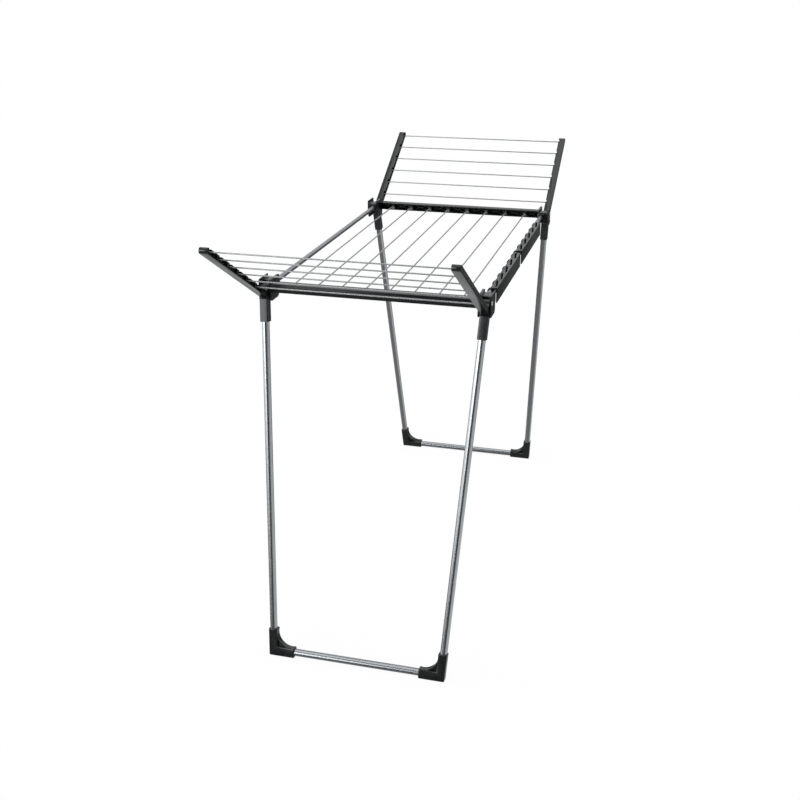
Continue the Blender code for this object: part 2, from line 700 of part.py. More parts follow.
def side_holder(start):
    """A clip-on strip along the side tube: an outer fascia and a deck with teardrop hanger windows."""
    x, z = SIDE_TUBE_X, LINE_HEIGHT
    end = start + HOLDER_LENGTH
    deck = [(x + FASCIA_X[1], start), (x + FASCIA_X[1], end), (x + DECK_INNER_X, end)]
    edge = []
    for unit in range(HOLDER_UNITS * 2):
        near = start + 0.0064 + HOLDER_PITCH / 2 * unit
        edge += [
            (x + DECK_INNER_X, near),
            (x + DECK_INNER_X - TOOTH_DEPTH, near + 0.0010),
            (x + DECK_INNER_X, near + 0.0240),
        ]
    deck += edge[::-1] + [(x + DECK_INNER_X, start)]
    place = Matrix.Translation((0.0, 0.0, z + sum(DECK_Z) / 2))
    strip = fused(
        prism(deck, DECK_Z[1] - DECK_Z[0], place),
        box(
            (x + FASCIA_X[0], start, z + FASCIA_Z[0]),
            (x + FASCIA_X[1], end, z + (DECK_Z[0] + DECK_Z[1]) / 2),
        ),
    )
    clips = []
    for unit in range(HOLDER_UNITS + 1):
        middle = start + HOLDER_FIRST + HOLDER_PITCH * (unit - 0.5)
        middle = min(max(middle, start + CLIP_WIDTH), end - CLIP_WIDTH)
        span = (middle - CLIP_WIDTH / 2, middle + CLIP_WIDTH / 2)
        clips.append(rod((x, span[0], z), (x, span[1], z), CLIP_RADIUS))
        clips.append(box(
            (x + 0.0030, span[0] + 0.0003, z - 0.0020),
            (x + FASCIA_X[0] + 0.0010, span[1] - 0.0003, z + DECK_Z[0] + 0.0010),
        ))
    for clip in clips:
        strip = fused(strip, clip)
    tube_socket = rod((x, start - 0.01, z), (x, end + 0.01, z), SIDE_TUBE_RADIUS + SOCKET_GAP)
    mouth = box(
        (x + CLIP_OPENING[0], start - 0.01, z - 0.02),
        (x + 0.0020, end + 0.01, z + CLIP_OPENING[1]),
    )
    strip = carved(carved(strip, tube_socket), mouth)
    for unit in range(HOLDER_UNITS):
        middle = start + HOLDER_FIRST + HOLDER_PITCH * unit
        window = []
        for (across_x, along_y, radius), start_angle in ((WINDOW_NEAR, 188), (WINDOW_FAR, 8)):
            centre = (x + across_x, middle + along_y)
            window += arc(centre, radius, start_angle, start_angle + 180, 8)
        strip = carved(strip, prism(window, 0.02, Matrix.Translation((0.0, 0.0, z + 0.010))))
    return strip


def build_top_frame():
    rail = cross_rail()
    for name, side in (("far_cross_rail", 1), ("near_cross_rail", -1)):
        add_part(name, mirrored(rail, 1, side), BLACK)
    for name, side in (("left_side_tube", -1), ("right_side_tube", 1)):
        x = side * SIDE_TUBE_X
        ends = ((x, -SIDE_TUBE_END_Y, LINE_HEIGHT), (x, SIDE_TUBE_END_Y, LINE_HEIGHT))
        add_part(name, tube(*ends, SIDE_TUBE_RADIUS, SIDE_TUBE_WALL), STEEL)
    for place, x in enumerate(line_places(), 1):
        ends = ((x, -LINE_END_Y, LINE_HEIGHT), (x, LINE_END_Y, LINE_HEIGHT))
        add_part(f"long_line_{place}", wire(*ends, LINE_RADIUS), LINE)
    for name, start in zip(("near_side_holder", "far_side_holder"), HOLDER_STARTS):
        add_part(name, side_holder(start), BLACK)


def build_corners(ends, sides):
    block = corner_block()
    pins = {
        "wing_pin": hinge_pin(WING_PIVOT, WING_PIN_TIP_X),
        "leg_pin": hinge_pin(LEG_PIVOT, LEG_PIN_TIP_X),
    }
    for end, side_y in ends:
        for side, side_x in sides:
            add_part(f"{end}_{side}_corner_block", mirrored(block, side_x, side_y), BLACK)
            for name, pin in pins.items():
                add_part(f"{end}_{side}_{name}", mirrored(pin, side_x, side_y), RIVET)


def build_wings(ends, sides):
    arm = wing_arm()
    for end, side_y in ends:
        hinge = hinge_empty(f"{end}_wing_hinge", side_y * WING_PIVOT[0], WING_PIVOT[1])
        for side, side_x in sides:
            add_part(f"{end}_wing_{side}_arm", mirrored(arm, side_x, side_y), BLACK, hinge)
        for place, along in enumerate(wing_line_places(), 1):
            y, z = wing_point(along, 0.0)
            ends_of_line = ((-WING_LINE_END_X, side_y * y, z), (WING_LINE_END_X, side_y * y, z))
            add_part(f"{end}_wing_line_{place}", wire(*ends_of_line, WING_LINE_RADIUS), LINE, hinge)


def build_legs(ends, sides):
    sleeve = leg_sleeve()
    foot = corner_foot()
    leg = tube(
        leg_axis(SOCKET_FLOOR), leg_axis(LEG_SLANT - TUBE_TOP_GAP), LEG_TUBE_RADIUS, LEG_TUBE_WALL
    )
    bar_end = LEG_FOOT_X - SOCKET_FLOOR
    bar = tube((-bar_end, BAR_Y, BAR_Z), (bar_end, BAR_Y, BAR_Z), LEG_TUBE_RADIUS, LEG_TUBE_WALL)
    for end, side_y in ends:
        hinge = hinge_empty(f"{end}_leg_hinge", side_y * LEG_PIVOT[0], LEG_PIVOT[1])
        for side, side_x in sides:
            add_part(f"{end}_{side}_sleeve", mirrored(sleeve, side_x, side_y), GREY, hinge)
            add_part(f"{end}_{side}_leg_tube", mirrored(leg, side_x, side_y), STEEL, hinge)
            add_part(f"{end}_{side}_foot", mirrored(foot, side_x, side_y), BLACK, hinge)
        add_part(f"{end}_foot_bar", mirrored(bar, 1, side_y), STEEL, hinge)


clear_scene()
PARTS = new_collection("clothes_airer")
WORK = new_collection("cutters")
WORK.hide_render = True
ENDS = (("near", -1), ("far", 1))
SIDES = (("left", -1), ("right", 1))
build_top_frame()
build_corners(ENDS, SIDES)
build_wings(ENDS, SIDES)
build_legs(ENDS, SIDES)
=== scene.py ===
"""Winged clothes airer in a plain studio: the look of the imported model, built round its frame."""

import json
import math

import bmesh
import bpy
from mathutils import Matrix, Vector


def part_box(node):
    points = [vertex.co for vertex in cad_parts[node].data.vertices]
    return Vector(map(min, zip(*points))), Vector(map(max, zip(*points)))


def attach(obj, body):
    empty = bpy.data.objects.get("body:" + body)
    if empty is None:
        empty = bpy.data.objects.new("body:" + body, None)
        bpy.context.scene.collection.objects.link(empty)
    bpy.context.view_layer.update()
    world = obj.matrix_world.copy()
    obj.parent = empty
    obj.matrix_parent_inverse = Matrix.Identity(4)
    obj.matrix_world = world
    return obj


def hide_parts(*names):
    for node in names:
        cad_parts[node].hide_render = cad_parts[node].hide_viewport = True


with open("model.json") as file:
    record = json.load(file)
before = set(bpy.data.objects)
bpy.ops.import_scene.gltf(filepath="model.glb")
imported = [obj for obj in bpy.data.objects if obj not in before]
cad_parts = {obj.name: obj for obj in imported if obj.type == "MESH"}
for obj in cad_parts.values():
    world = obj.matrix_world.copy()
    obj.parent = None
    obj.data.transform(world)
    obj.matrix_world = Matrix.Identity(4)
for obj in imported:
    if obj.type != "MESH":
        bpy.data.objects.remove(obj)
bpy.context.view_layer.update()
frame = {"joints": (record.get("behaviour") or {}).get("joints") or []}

# Camera
CAMERA_PLACE = (0.7413, -2.9961, 1.7342)
CAMERA_YAW = math.radians(15.084)
CAMERA_PITCH = math.radians(-22.178)
CAMERA_ROLL = math.radians(-0.132)
CAMERA_LENS = 49.94

SENSOR_WIDTH = 36.0

# Studio, in degrees. A panel is (azimuth from the front towards +X, half width, low edge, high edge,
# softness, strength), and the overhead light is (where it starts, where it is full, strength)
PANELS = (
    (-58.0, 42.0, 0.0, 31.0, 3.0, 5.0),
    (-35.0, 18.0, -8.0, 1.0, 2.0, 1.30),
    (-86.0, 34.0, -17.0, 1.0, 3.0, 1.30),
    (180.0, 70.0, 5.0, 42.0, 8.0, 0.85),
    (90.0, 40.0, 0.0, 40.0, 8.0, 0.60),
    (88.0, 48.0, -31.0, -2.0, 6.0, 0.76),
    (0.0, 90.0, -89.0, -31.0, 4.0, 0.22),
    (180.0, 90.0, -89.0, -27.0, 5.0, 0.62),
)
OVERHEAD = (50.0, 66.0, 1.6)
ROOM_LEVEL = 0.11
ROOM_COLOUR = (0.975, 0.99, 1.0, 1.0)
WHITE = (1.0, 1.0, 1.0, 1.0)
FLOOR_COLOUR = (0.9, 0.9, 0.9, 1.0)
FLOOR_SHADE = 0.05
FLOOR_RADIUS = 14.0

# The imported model: its sides and ends, its counts, and where its boxes and hinges lie
SIDES = (("left", -1), ("right", 1))
ENDS = (("near", -1), ("far", 1))
LONG_LINES = 8
LINES_PER_WING = 6


def middle(node):
    low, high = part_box(node)
    return (low + high) / 2


JOINTS = {joint["name"]: joint for joint in frame["joints"]}
RAIL_LOW, RAIL_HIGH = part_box("far_cross_rail")
BLOCK_LOW, BLOCK_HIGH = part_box("far_right_corner_block")
ARM_LOW, ARM_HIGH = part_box("far_wing_right_arm")
SIDE_TUBE_LOW, SIDE_TUBE_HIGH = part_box("right_side_tube")
BAR_LOW, BAR_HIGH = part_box("far_foot_bar")
HINGE_X = (ARM_LOW.x + ARM_HIGH.x) / 2
TUBE_X = (SIDE_TUBE_LOW.x + SIDE_TUBE_HIGH.x) / 2
LINE_Z = (SIDE_TUBE_LOW.z + SIDE_TUBE_HIGH.z) / 2
WING_PIVOT = tuple(JOINTS["far_wing_hinge"]["pos_m"][1:])
LEG_PIVOT = tuple(JOINTS["far_leg_hinge"]["pos_m"][1:])
LINE_X = [middle(f"long_line_{place}").x for place in range(1, LONG_LINES + 1)]
WING_LINES = [tuple(middle(f"far_wing_line_{place}").yz) for place in range(1, LINES_PER_WING + 1)]

# Shapes, in metres, all given for the far right corner and mirrored to the others
SIDE_TUBE_RADIUS = 0.0065
SIDE_TUBE_WALL = 0.0008
SIDE_TUBE_SEAT = 0.0068
LONG_LINE_RADIUS = 0.0018
WING_LINE_RADIUS = 0.0017
WING_LINE_SEAT = 0.0020
PIN_BORE = 0.0033
PIN_SHANK = 0.0030
PIN_TIP = 0.0024
PIN_TIP_EASE = 0.0006
PIN_HEAD_RADIUS = 0.0052
PIN_HEAD_RISE = 0.0018
PIN_HEAD_X = 0.2948
WING_PIN_TIP_X = 0.2650
LEG_PIN_TIP_X = 0.2632
RAIL_END = 0.2615
RAIL_WALL = 0.0022
RAIL_BEAD = 0.0028
RAIL_BEAD_Z = LINE_Z + 0.0005
RAIL_RIB_HALF = 0.0008
RAIL_RIB_REACH = 0.0095
TONGUE_Y = (0.4820, 0.4880)
TONGUE_INSET = 0.0050
WALL_Y = 0.5062
BLOCK_FRONT = 0.4470
BLOCK_NECK = 0.4520
BLOCK_PLATE_LOW = 0.9440
BLOCK_PLATE_TURN = 0.9390
CHANNEL_X = (0.2683, 0.2917)
CHANNEL_FLOOR = 0.9622
PANEL_DEPTH = 0.0007
SIGHT_DEPTH = 0.0022
ARM_HALF = 0.0075
ARM_WALL = 0.0020
ARM_WIDTH = 0.0200
ARM_ROOT = -0.0735
ARM_TIP = 0.3153
ARM_HEEL = 0.0150
ARM_CHANNEL_START = -0.028
ARM_GROOVE_HALF = 0.0012
EYE_RADIUS = 0.0088
EYE_WIDTH = 0.0228
RIB_HALF = 0.0007
LEG_TOP = (LEG_PIVOT[0] + 0.0076, LEG_PIVOT[1] - 0.0005)
LEG_TUBE_RADIUS = 0.0095
LEG_TUBE_WALL = 0.0009
SOCKET_FLOOR = 0.0130
SLEEVE_WIDTH = 0.0228
SLEEVE_DEPTH = 0.0228
SLEEVE_START = 0.0048
SLEEVE_LENGTH = 0.0620
SLEEVE_CORNER = 0.0040
SLEEVE_EYE = 0.0085
TUBE_TOP_GAP = 0.0160
FOOT_OUTER = 0.0110
FOOT_INNER = 0.0122
FOOT_HEIGHT = 0.0720
FOOT_LENGTH = 0.0690
FOOT_DEPTH = 0.0222
FOOT_FLOOR = -0.0135
FOOT_LIP = 0.0006
FOOT_BAND = 0.0075
WEB_RADIUS = 0.0400
WEB_RIM = 0.0035
WEB_DEPTH = 0.0080
WEB_RIM_DEPTH = 0.0180
HAIR = 0.0003
HOLDER_PITCH = 0.0700
HOLDER_FIRST = 0.0365
HOLDER_WINDOWS = 5
HOLDER_CLIPS = 6
HOLDER_TEETH = 10
HOLDER_CLIP_RADIUS = 0.0093
# A holder's window is two half circles: (across from the tube, along the strip, radius), first turn
WINDOW_HALVES = (((0.0088, -0.0190, 0.0044), 188), ((0.0048, 0.0270, 0.0024), 8))
WINDOW_EASE = 0.0007

WORK = bpy.data.collections.new("work")
bpy.context.scene.collection.children.link(WORK)


# Mesh tools

def tidy(mesh):
    """The mesh with doubled points merged and its faces turned outwards."""
    shape = bmesh.new()
    shape.from_mesh(mesh)
    bmesh.ops.remove_doubles(shape, verts=shape.verts, dist=1e-6)
    bmesh.ops.recalc_face_normals(shape, faces=shape.faces)
    shape.to_mesh(mesh)
    shape.free()
    return mesh


def evaluated(obj):
    """The object's mesh with its modifiers applied. The object itself is removed."""
    bpy.context.view_layer.update()
    graph = bpy.context.evaluated_depsgraph_get()
    mesh = bpy.data.meshes.new_from_object(obj.evaluated_get(graph))
    bpy.data.objects.remove(obj, do_unlink=True)
    return tidy(mesh)


def box(low, high):
    low, high = Vector(low), Vector(high)
    shape = bmesh.new()
    size = Matrix.Diagonal((*(high - low), 1.0))
    bmesh.ops.create_cube(shape, size=1.0, matrix=Matrix.Translation((low + high) / 2) @ size)
    mesh = bpy.data.meshes.new("box")
    shape.to_mesh(mesh)
    shape.free()
    return mesh


def prism(outline, thickness, place=None):
    """An outline in XY, extruded to both sides of the plane, then placed."""
    curve = bpy.data.curves.new("outline", "CURVE")
    curve.dimensions = "2D"
    curve.fill_mode = "BOTH"
    curve.extrude = thickness / 2
    spline = curve.splines.new("POLY")
    spline.points.add(len(outline) - 1)
    for point, (x, y) in zip(spline.points, outline):
        point.co = (x, y, 0.0, 1.0)
    spline.use_cyclic_u = True
    obj = bpy.data.objects.new("outline", curve)
    WORK.objects.link(obj)
    mesh = evaluated(obj)
    if place:
        mesh.transform(place)
    return mesh


def turned(profile, sides, place=None, ring=False):
    """A profile of (radius, z), turned about Z, then placed. A ring's profile is closed on itself."""
    shape = bmesh.new()
    rows = []
    for radius, z in profile:
        if radius <= 0:
            rows.append([shape.verts.new((0.0, 0.0, z))])
            continue
        row = []
        for step in range(sides):
            angle = 2 * math.pi * step / sides
            row.append(shape.verts.new((radius * math.cos(angle), radius * math.sin(angle), z)))
        rows.append(row)
    pairs = list(zip(rows, rows[1:]))
    if ring:
        pairs.append((rows[-1], rows[0]))
    for low, high in pairs:
        for step in range(sides):
            following = (step + 1) % sides
            corners = [
                low[step % len(low)], low[following % len(low)],
                high[following % len(high)], high[step % len(high)],
            ]
            unique = list(dict.fromkeys(corners))
            if len(unique) > 2:
                shape.faces.new(unique)
    bmesh.ops.recalc_face_normals(shape, faces=shape.faces)
    mesh = bpy.data.meshes.new("turned")
    shape.to_mesh(mesh)
    shape.free()
    if place:
        mesh.transform(place)
    return mesh


def facing(start, end):
    """Places +Z from start towards end."""
    direction = Vector(end) - Vector(start)
    turn = direction.to_track_quat("Z", "Y").to_matrix().to_4x4()
    return Matrix.Translation(start) @ turn


def rod(start, end, radius, sides=32):
    length = (Vector(end) - Vector(start)).length
    return turned([(0.0, length), (radius, length), (radius, 0.0), (0.0, 0.0)], sides, facing(start, end))


def tube(start, end, radius, wall, sides=64):
    """A tube with its rims eased."""
    length = (Vector(end) - Vector(start)).length
    ease = wall * 0.35
    inner = radius - wall
    profile = [
        (radius, length - ease), (radius, ease), (radius - ease, 0.0), (inner + ease, 0.0),
        (inner, ease), (inner, length - ease), (inner + ease, length), (radius - ease, length),
    ]
    return turned(profile, sides, facing(start, end), ring=True)


def wire(start, end, radius, sides=20, steps=4):
    """A wire with rounded ends."""
    length = (Vector(end) - Vector(start)).length
    profile = [(0.0, length)]
    for step in range(1, steps + 1):
        angle = math.radians(90 * step / steps)
        profile.append((radius * math.sin(angle), length - radius * (1 - math.cos(angle))))
    for step in range(steps, 0, -1):
        angle = math.radians(90 * step / steps)
        profile.append((radius * math.sin(angle), radius * (1 - math.cos(angle))))
    profile.append((0.0, 0.0))
    return turned(profile, sides, facing(start, end))


def boolean(base, others, operation):
    obj = bpy.data.objects.new("base", base)
    WORK.objects.link(obj)
    helpers = []
    for other in others:
        helper = bpy.data.objects.new("helper", other)
        WORK.objects.link(helper)
        helpers.append(helper)
        step = obj.modifiers.new("Step", "BOOLEAN")
        step.operation = operation
        step.solver = "MANIFOLD"
        step.object = helper
    mesh = evaluated(obj)
    for helper in helpers:
        bpy.data.objects.remove(helper, do_unlink=True)
    return mesh


def fused(first, *others):
    return boolean(first, others, "UNION")


def carved(first, *cutters):
    return boolean(first, cutters, "DIFFERENCE")


def merged(mesh):
    """The mesh with the slivers and coplanar triangles that Booleans leave taken out."""
    shape = bmesh.new()
    shape.from_mesh(mesh)
    bmesh.ops.remove_doubles(shape, verts=shape.verts, dist=2e-5)
    bmesh.ops.dissolve_degenerate(shape, edges=shape.edges, dist=2e-5)
    bmesh.ops.dissolve_limit(shape, angle_limit=math.radians(1.0), verts=shape.verts, edges=shape.edges)
    shape.to_mesh(mesh)
    shape.free()
    return mesh


def eased(mesh, width, segments=2, angle=35):
    """The mesh with its sharp edges rounded."""
    obj = bpy.data.objects.new("eased", merged(mesh))
    WORK.objects.link(obj)
    bevel = obj.modifiers.new("Ease", "BEVEL")
    bevel.width = width
    bevel.segments = segments
    bevel.limit_method = "ANGLE"
    bevel.angle_limit = math.radians(angle)
    bevel.use_clamp_overlap = True
    bevel.harden_normals = False
    return evaluated(obj)


def mirrored(mesh, side_x, side_y):
    """A copy for another side or end, with its faces kept outwards."""
    copy = mesh.copy()
    copy.transform(Matrix.Diagonal((side_x, side_y, 1.0, 1.0)))
    if side_x * side_y < 0:
        copy.flip_normals()
    return copy


def arc(centre, radius, start, end, steps):
    """Points on a circle, between two angles in degrees."""
    points = []
    for step in range(steps + 1):
        angle = math.radians(start + (end - start) * step / steps)
        points.append((centre[0] + radius * math.cos(angle), centre[1] + radius * math.sin(angle)))
    return points


def rounded(points, radius, steps=3):
    """An outline with each of its corners rounded, by no more than its sides allow."""
    result = []
    count = len(points)
    for place, corner in enumerate(points):
        here = Vector(corner)
        before = Vector(points[place - 1]) - here
        after = Vector(points[(place + 1) % count]) - here
        reach = min(radius, before.length * 0.45, after.length * 0.45)
        first = here + before.normalized() * reach
        last = here + after.normalized() * reach
        for step in range(steps + 1):
            t = step / steps
            result.append(tuple(first * (1 - t) ** 2 + here * 2 * t * (1 - t) + last * t ** 2))
    return result


SIDEWAYS = Matrix((
    (0.0, 0.0, 1.0, 0.0),
    (1.0, 0.0, 0.0, 0.0),
    (0.0, 1.0, 0.0, 0.0),
    (0.0, 0.0, 0.0, 1.0),
))


def side_prism(outline, x_low, x_high):
    """An outline of (y, z), extruded across the airer."""
    place = Matrix.Translation(((x_low + x_high) / 2, 0.0, 0.0)) @ SIDEWAYS
    return prism(outline, x_high - x_low, place)


def across(x_low, x_high, pivot, radius, sides=32):
    """A rod across the airer, through a pivot (y, z)."""
    return rod((x_low, *pivot), (x_high, *pivot), radius, sides)


# Materials

def new_material(name):
    made = bpy.data.materials.new(name)
    made.use_nodes = True
    return made, made.node_tree.nodes, made.node_tree.links, made.node_tree.nodes["Principled BSDF"]


def texture(nodes, links, kind, scale, stretch=(1.0, 1.0, 1.0), detail=4.0):
    place = nodes.new("ShaderNodeTexCoord")
    mapping = nodes.new("ShaderNodeMapping")
    mapping.inputs["Scale"].default_value = stretch
    made = nodes.new(kind)
    made.inputs["Scale"].default_value = scale
    made.inputs["Detail"].default_value = detail
    links.new(place.outputs["Object"], mapping.inputs["Vector"])
    links.new(mapping.outputs["Vector"], made.inputs["Vector"])
    return made.outputs["Fac"]


def ramp(nodes, links, source, low, high, start=0.3, end=0.7):
    made = nodes.new("ShaderNodeValToRGB")
    made.color_ramp.elements[0].position = start
    made.color_ramp.elements[1].position = end
    made.color_ramp.elements[0].color = (*low, 1.0)
    made.color_ramp.elements[1].color = (*high, 1.0)
    links.new(source, made.inputs["Fac"])
    return made.outputs["Color"]


def scalar(nodes, links, source, low, high):
    made = nodes.new("ShaderNodeMapRange")
    made.inputs["From Min"].default_value = 0.25
    made.inputs["From Max"].default_value = 0.75
    made.inputs["To Min"].default_value = low
    made.inputs["To Max"].default_value = high
    links.new(source, made.inputs["Value"])
    return made.outputs["Result"]


def bump(nodes, links, source, strength, distance):
    made = nodes.new("ShaderNodeBump")
    made.inputs["Strength"].default_value = strength
    made.inputs["Distance"].default_value = distance
    links.new(source, made.inputs["Height"])
    return made.outputs["Normal"]


def plastic(name, dark, light, roughness):
    """Moulded plastic: a fine spark-eroded grain, a faint cloudiness and uneven gloss."""
    made, nodes, links, shader = new_material(name)
    clouds = texture(nodes, links, "ShaderNodeTexNoise", 38.0, detail=5.0)
    grain = texture(nodes, links, "ShaderNodeTexNoise", 1700.0, detail=2.0)
    links.new(ramp(nodes, links, clouds, dark, light), shader.inputs["Base Color"])
    links.new(scalar(nodes, links, clouds, *roughness), shader.inputs["Roughness"])
    shader.inputs["IOR"].default_value = 1.49
    links.new(bump(nodes, links, grain, 0.05, 0.00015), shader.inputs["Normal"])
    return made


def steel(name, stretch, dark, light, roughness):
    """Drawn steel under a thin lacquer: fine streaks along the tube and faint handling marks."""
    made, nodes, links, shader = new_material(name)
    streaks = texture(nodes, links, "ShaderNodeTexNoise", 1.0, stretch, 6.0)
    marks = texture(nodes, links, "ShaderNodeTexNoise", 14.0, detail=6.0)
    links.new(ramp(nodes, links, streaks, dark, light), shader.inputs["Base Color"])
    links.new(scalar(nodes, links, marks, *roughness), shader.inputs["Roughness"])
    shader.inputs["Metallic"].default_value = 1.0
    shader.inputs["Coat Weight"].default_value = 0.12
    shader.inputs["Coat Roughness"].default_value = 0.18
    links.new(bump(nodes, links, streaks, 0.012, 0.0001), shader.inputs["Normal"])
    return made


def line_coat(name, stretch):
    """Grey coated wire: a slightly waxy skin with tiny runs along it."""
    made, nodes, links, shader = new_material(name)
    runs = texture(nodes, links, "ShaderNodeTexNoise", 1.0, stretch, 4.0)
    grey = ramp(nodes, links, runs, (0.300, 0.305, 0.310), (0.380, 0.385, 0.390))
    links.new(grey, shader.inputs["Base Color"])
    links.new(scalar(nodes, links, runs, 0.28, 0.40), shader.inputs["Roughness"])
    shader.inputs["Metallic"].default_value = 0.5
    links.new(bump(nodes, links, runs, 0.10, 0.0002), shader.inputs["Normal"])
    return made


def rivet_steel(name):
    """Bright headed pins with fine marks."""
    made, nodes, links, shader = new_material(name)
    marks = texture(nodes, links, "ShaderNodeTexNoise", 600.0, detail=5.0)
    bright = ramp(nodes, links, marks, (0.62, 0.62, 0.63), (0.80, 0.80, 0.80))
    links.new(bright, shader.inputs["Base Color"])
    links.new(scalar(nodes, links, marks, 0.22, 0.36), shader.inputs["Roughness"])
    shader.inputs["Metallic"].default_value = 1.0
    return made


# The three steels and the two line coatings differ in the way their streaks run. The steels' colours
# differ only to meet the tones of the photograph: they are one steel in three tones of painted light and
# shade: lighter on the leg tubes, darker on the long side tubes, and between the two on the foot bars
STREAK, ALONG_TUBE = 420.0, 3.0
RUN, ALONG_LINE = 1400.0, 20.0
BLACK = plastic("black_plastic", (0.0060, 0.0063, 0.0068), (0.0100, 0.0104, 0.0110), (0.22, 0.30))
SLEEVE = plastic("sleeve_plastic", (0.016, 0.0165, 0.018), (0.023, 0.024, 0.026), (0.18, 0.26))
# Painted light: a lighter copy of the steel, for the leg tubes
UPRIGHT_STEEL_PAINTED_LIGHT = steel(
    "tube_steel_upright_painted_light", (STREAK, STREAK, ALONG_TUBE),
    (0.33, 0.345, 0.36), (0.41, 0.425, 0.44), (0.18, 0.26),
)
# Painted shade: a darker copy of the steel, for the long side tubes
LONG_STEEL_PAINTED_SHADE = steel(
    "tube_steel_long_painted_shade", (STREAK, ALONG_TUBE, STREAK),
    (0.22, 0.235, 0.25), (0.28, 0.295, 0.31), (0.24, 0.32),
)
# Painted light and shade: the steel toned between the other two, for the foot bars
CROSS_STEEL = steel(
    "tube_steel_cross", (ALONG_TUBE, STREAK, STREAK),
    (0.29, 0.305, 0.32), (0.36, 0.375, 0.39), (0.20, 0.28),
)
LONG_COAT = line_coat("line_coating_long", (RUN, ALONG_LINE, RUN))
CROSS_COAT = line_coat("line_coating_cross", (ALONG_LINE, RUN, RUN))
RIVET = rivet_steel("rivet_steel")


def add_piece(name, mesh, material, body, node, smooth=32):
    """A finished piece, riding on its body in place of its CAD node."""
    mesh.materials.clear()
    mesh.materials.append(material)
    mesh.shade_smooth()
    mesh.set_sharp_from_angle(angle=math.radians(smooth))
    mesh.name = name
    obj = bpy.data.objects.new(name, mesh)
    bpy.context.scene.collection.objects.link(obj)
    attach(obj, body)
    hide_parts(node)
    return obj


# Wing coordinates: along the arm from its first line, and up from the arm's middle plane

WING_RUN = Vector(WING_LINES[-1]) - Vector(WING_LINES[0])
WING_TILT = math.atan2(WING_RUN.y, WING_RUN.x)
WING_PITCH = WING_RUN.length / (len(WING_LINES) - 1)
WING_PLACES = [WING_PITCH * place for place in range(len(WING_LINES))]


def wing_point(along, up):
    """From wing coordinates to (y, z)."""
    y = WING_LINES[0][0] + along * math.cos(WING_TILT) - up * math.sin(WING_TILT)
    z = WING_LINES[0][1] + along * math.sin(WING_TILT) + up * math.cos(WING_TILT)
    return y, z


def in_wing(points):
    return [wing_point(along, up) for along, up in points]


def to_wing(point):
    """From (y, z) to wing coordinates."""
    run = Vector(point) - Vector(WING_LINES[0])
    along = run.x * math.cos(WING_TILT) + run.y * math.sin(WING_TILT)
    return along, -run.x * math.sin(WING_TILT) + run.y * math.cos(WING_TILT)


# Leg coordinates: in the plane of the far leg frame, (x, height above the bar's axis)

BAR_Y, BAR_Z = (BAR_LOW.y + BAR_HIGH.y) / 2, (BAR_LOW.z + BAR_HIGH.z) / 2
LEG_FOOT_X = BAR_HIGH.x + SOCKET_FLOOR
LEG_RISE = LEG_TOP[1] - BAR_Z
LEG_RUN = BAR_Y - LEG_TOP[0]
LEG_SPLAY = math.atan2(LEG_RUN, LEG_RISE)
LEG_SLANT = math.hypot(LEG_RISE, LEG_RUN)
LEG_LEAN = (HINGE_X - LEG_FOOT_X) / LEG_SLANT
LEG_PLANE = Matrix.Translation((0.0, BAR_Y, BAR_Z)) @ Matrix((
    (1.0, 0.0, 0.0, 0.0),
    (0.0, -math.sin(LEG_SPLAY), -math.cos(LEG_SPLAY), 0.0),
    (0.0, math.cos(LEG_SPLAY), -math.sin(LEG_SPLAY), 0.0),
    (0.0, 0.0, 0.0, 1.0),
))


def leg_axis(height):
    """The point of a leg tube's axis at a height in the leg frame's plane."""
    return LEG_PLANE @ Vector((LEG_FOOT_X + LEG_LEAN * height, height, 0.0))


def leg_x(height, offset):
    """Across the leg frame's plane: a distance outwards from the leg tube's axis."""
    return LEG_FOOT_X + LEG_LEAN * height + offset


def leg_section(points):
    """Points (out, up) square to the leg's slant, from its top, as (y, z)."""
    outwards = (math.cos(LEG_SPLAY), math.sin(LEG_SPLAY))
    upwards = (-math.sin(LEG_SPLAY), math.cos(LEG_SPLAY))
    return [
        (LEG_TOP[0] + out * outwards[0] + up * upwards[0], LEG_TOP[1] + out * outwards[1] + up * upwards[1])
        for out, up in points
    ]


# Pieces of the top frame

